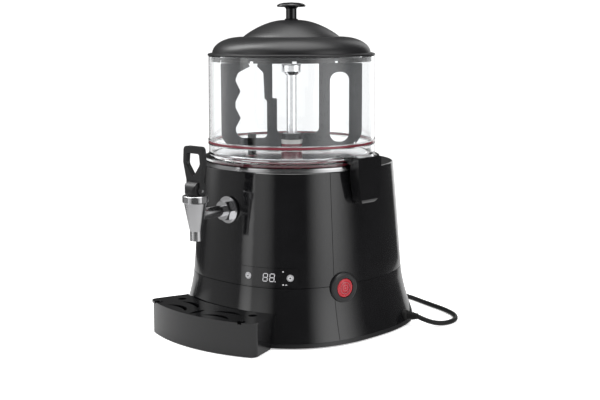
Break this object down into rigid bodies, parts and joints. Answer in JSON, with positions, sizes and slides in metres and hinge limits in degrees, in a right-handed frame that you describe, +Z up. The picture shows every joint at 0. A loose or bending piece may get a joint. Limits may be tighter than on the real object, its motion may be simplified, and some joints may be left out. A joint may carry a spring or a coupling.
{
  "type": "heated drink and sauce dispenser",
  "caption": "Countertop heated dispenser: clear round tank with a stirrer and lid on a tapering black housing, with a tap over a drip tray and a control panel.",
  "frame": {"origin": "centre of the footprint without the cord, on the surface that the feet stand on", "axes": "+X to the right seen from the front, +Y towards the rear, +Z up along the tank's axis direction"},
  "size_m": [0.3555, 0.515, 0.47],
  "materials": {
    "gloss_black": "polished black moulding",
    "satin_black": "satin black moulding",
    "soft_black": "black rubber",
    "clear_plastic": "clear moulded plastic",
    "red_seal": "translucent red silicone",
    "mirror_steel": "polished stainless steel",
    "satin_steel": "brushed stainless steel",
    "chrome": "bright chrome",
    "grey_plastic": "dark grey moulding",
    "white_plastic": "white moulding",
    "red_lens": "red translucent moulding",
    "silver_plastic": "silver moulding",
    "zinc_steel": "zinc-plated steel",
    "motor_case": "painted casting",
    "board_green": "circuit board",
    "cord_black": "black flexible cord",
    "brass_parts": "plated brass"
  },
  "bodies": {
    "root": {"base_plate": "satin_black", "rubber_feet": "soft_black", "base_screws": "zinc_steel", "lower_housing_front": "gloss_black", "lower_housing_rear": "gloss_black", "upper_housing_front": "gloss_black", "upper_housing_rear": "gloss_black", "top_deck": "gloss_black", "plate_rim": "satin_steel", "heating_plate": "mirror_steel", "heating_element": "zinc_steel", "thermostat": "satin_black", "tank": "clear_plastic", "tank_skirt": "clear_plastic", "lower_seal": "red_seal", "upper_seal": "red_seal", "outlet_seal": "red_seal", "outlet_elbow": "satin_steel", "motor_bracket": "zinc_steel", "gearbox": "motor_case", "motor": "motor_case", "tap_gasket": "soft_black", "tap_flange": "chrome", "tap_nut": "chrome", "tap_lock_nut": "brass_parts", "tap_shank": "mirror_steel", "tap_body": "satin_steel", "tap_bonnet": "satin_black", "tap_pin": "satin_steel", "tap_bellows": "soft_black", "display_panel": "gloss_black", "display_module": "satin_black", "control_board": "board_green", "switch_bezel": "satin_black", "switch_body": "satin_black", "latch_bracket": "satin_black", "latch_pin": "satin_steel", "strain_relief": "soft_black", "power_cord": "cord_black", "cord_coil": "cord_black", "plug": "soft_black"},
    "lid": {"lid": "satin_black", "knob_washer": "soft_black", "lid_knob": "gloss_black", "knob_screw": "zinc_steel"},
    "stirrer": {"stirrer_frame": "grey_plastic", "stirrer_wiper": "soft_black", "stirrer_tube": "mirror_steel", "stirrer_cap": "mirror_steel", "hub_sleeve": "red_seal", "hub_cap": "white_plastic", "drive_shaft": "satin_steel"},
    "tap_handle": {"tap_handle": "satin_black"},
    "tap_plunger": {"tap_plunger": "red_seal"},
    "drip_tray": {"drip_tray": "gloss_black"},
    "drip_grille": {"drip_grille": "gloss_black"},
    "button_down": {"button_down": "silver_plastic"},
    "button_up": {"button_up": "silver_plastic"},
    "power_button": {"power_button": "red_lens"},
    "latch_lever": {"latch_lever": "gloss_black"}
  },
  "joints": [
    {"name": "lid_lift", "type": "slide", "parent": "root", "child": "lid", "axis": [0, 0, 1], "range_m": [0, 0.12]},
    {"name": "stirrer_turn", "type": "hinge", "parent": "root", "child": "stirrer", "pos_m": [0, 0.01, 0.3], "axis": [0, 0, 1], "continuous": true},
    {"name": "tap_pull", "type": "hinge", "parent": "root", "child": "tap_handle", "pos_m": [0, -0.182, 0.217], "axis": [1, 0, 0], "range_deg": [0, 40], "stiffness_Nm_per_rad": 0.4},
    {"name": "tap_valve", "type": "slide", "parent": "root", "child": "tap_plunger", "axis": [0, 0, 1], "range_m": [0, 0.005], "deforming": ["tap_bellows"]},
    {"name": "tray_slide", "type": "slide", "parent": "root", "child": "drip_tray", "axis": [0, -1, 0], "range_m": [0, 0.06]},
    {"name": "grille_lift", "type": "slide", "parent": "drip_tray", "child": "drip_grille", "axis": [0, 0, 1], "range_m": [0, 0.05]},
    {"name": "button_down_press", "type": "slide", "parent": "root", "child": "button_down", "axis": [-0.1834, 0.983, 0], "range_m": [0, 0.0012], "stiffness_N_per_m": 600},
    {"name": "button_up_press", "type": "slide", "parent": "root", "child": "button_up", "axis": [-0.66, 0.7513, 0], "range_m": [0, 0.0012], "stiffness_N_per_m": 600},
    {"name": "power_press", "type": "slide", "parent": "root", "child": "power_button", "axis": [-0.9777, 0.2098, 0], "range_m": [0, 0.0025], "stiffness_N_per_m": 1200},
    {"name": "latch_open", "type": "hinge", "parent": "root", "child": "latch_lever", "pos_m": [0.139, 0.012, 0.1985], "axis": [0, 1, 0], "range_deg": [0, 75]}
  ],
  "couplings": [
    {"joint": "tap_valve", "follows": "tap_pull", "m_per_rad": 0.0071613}
  ]
}
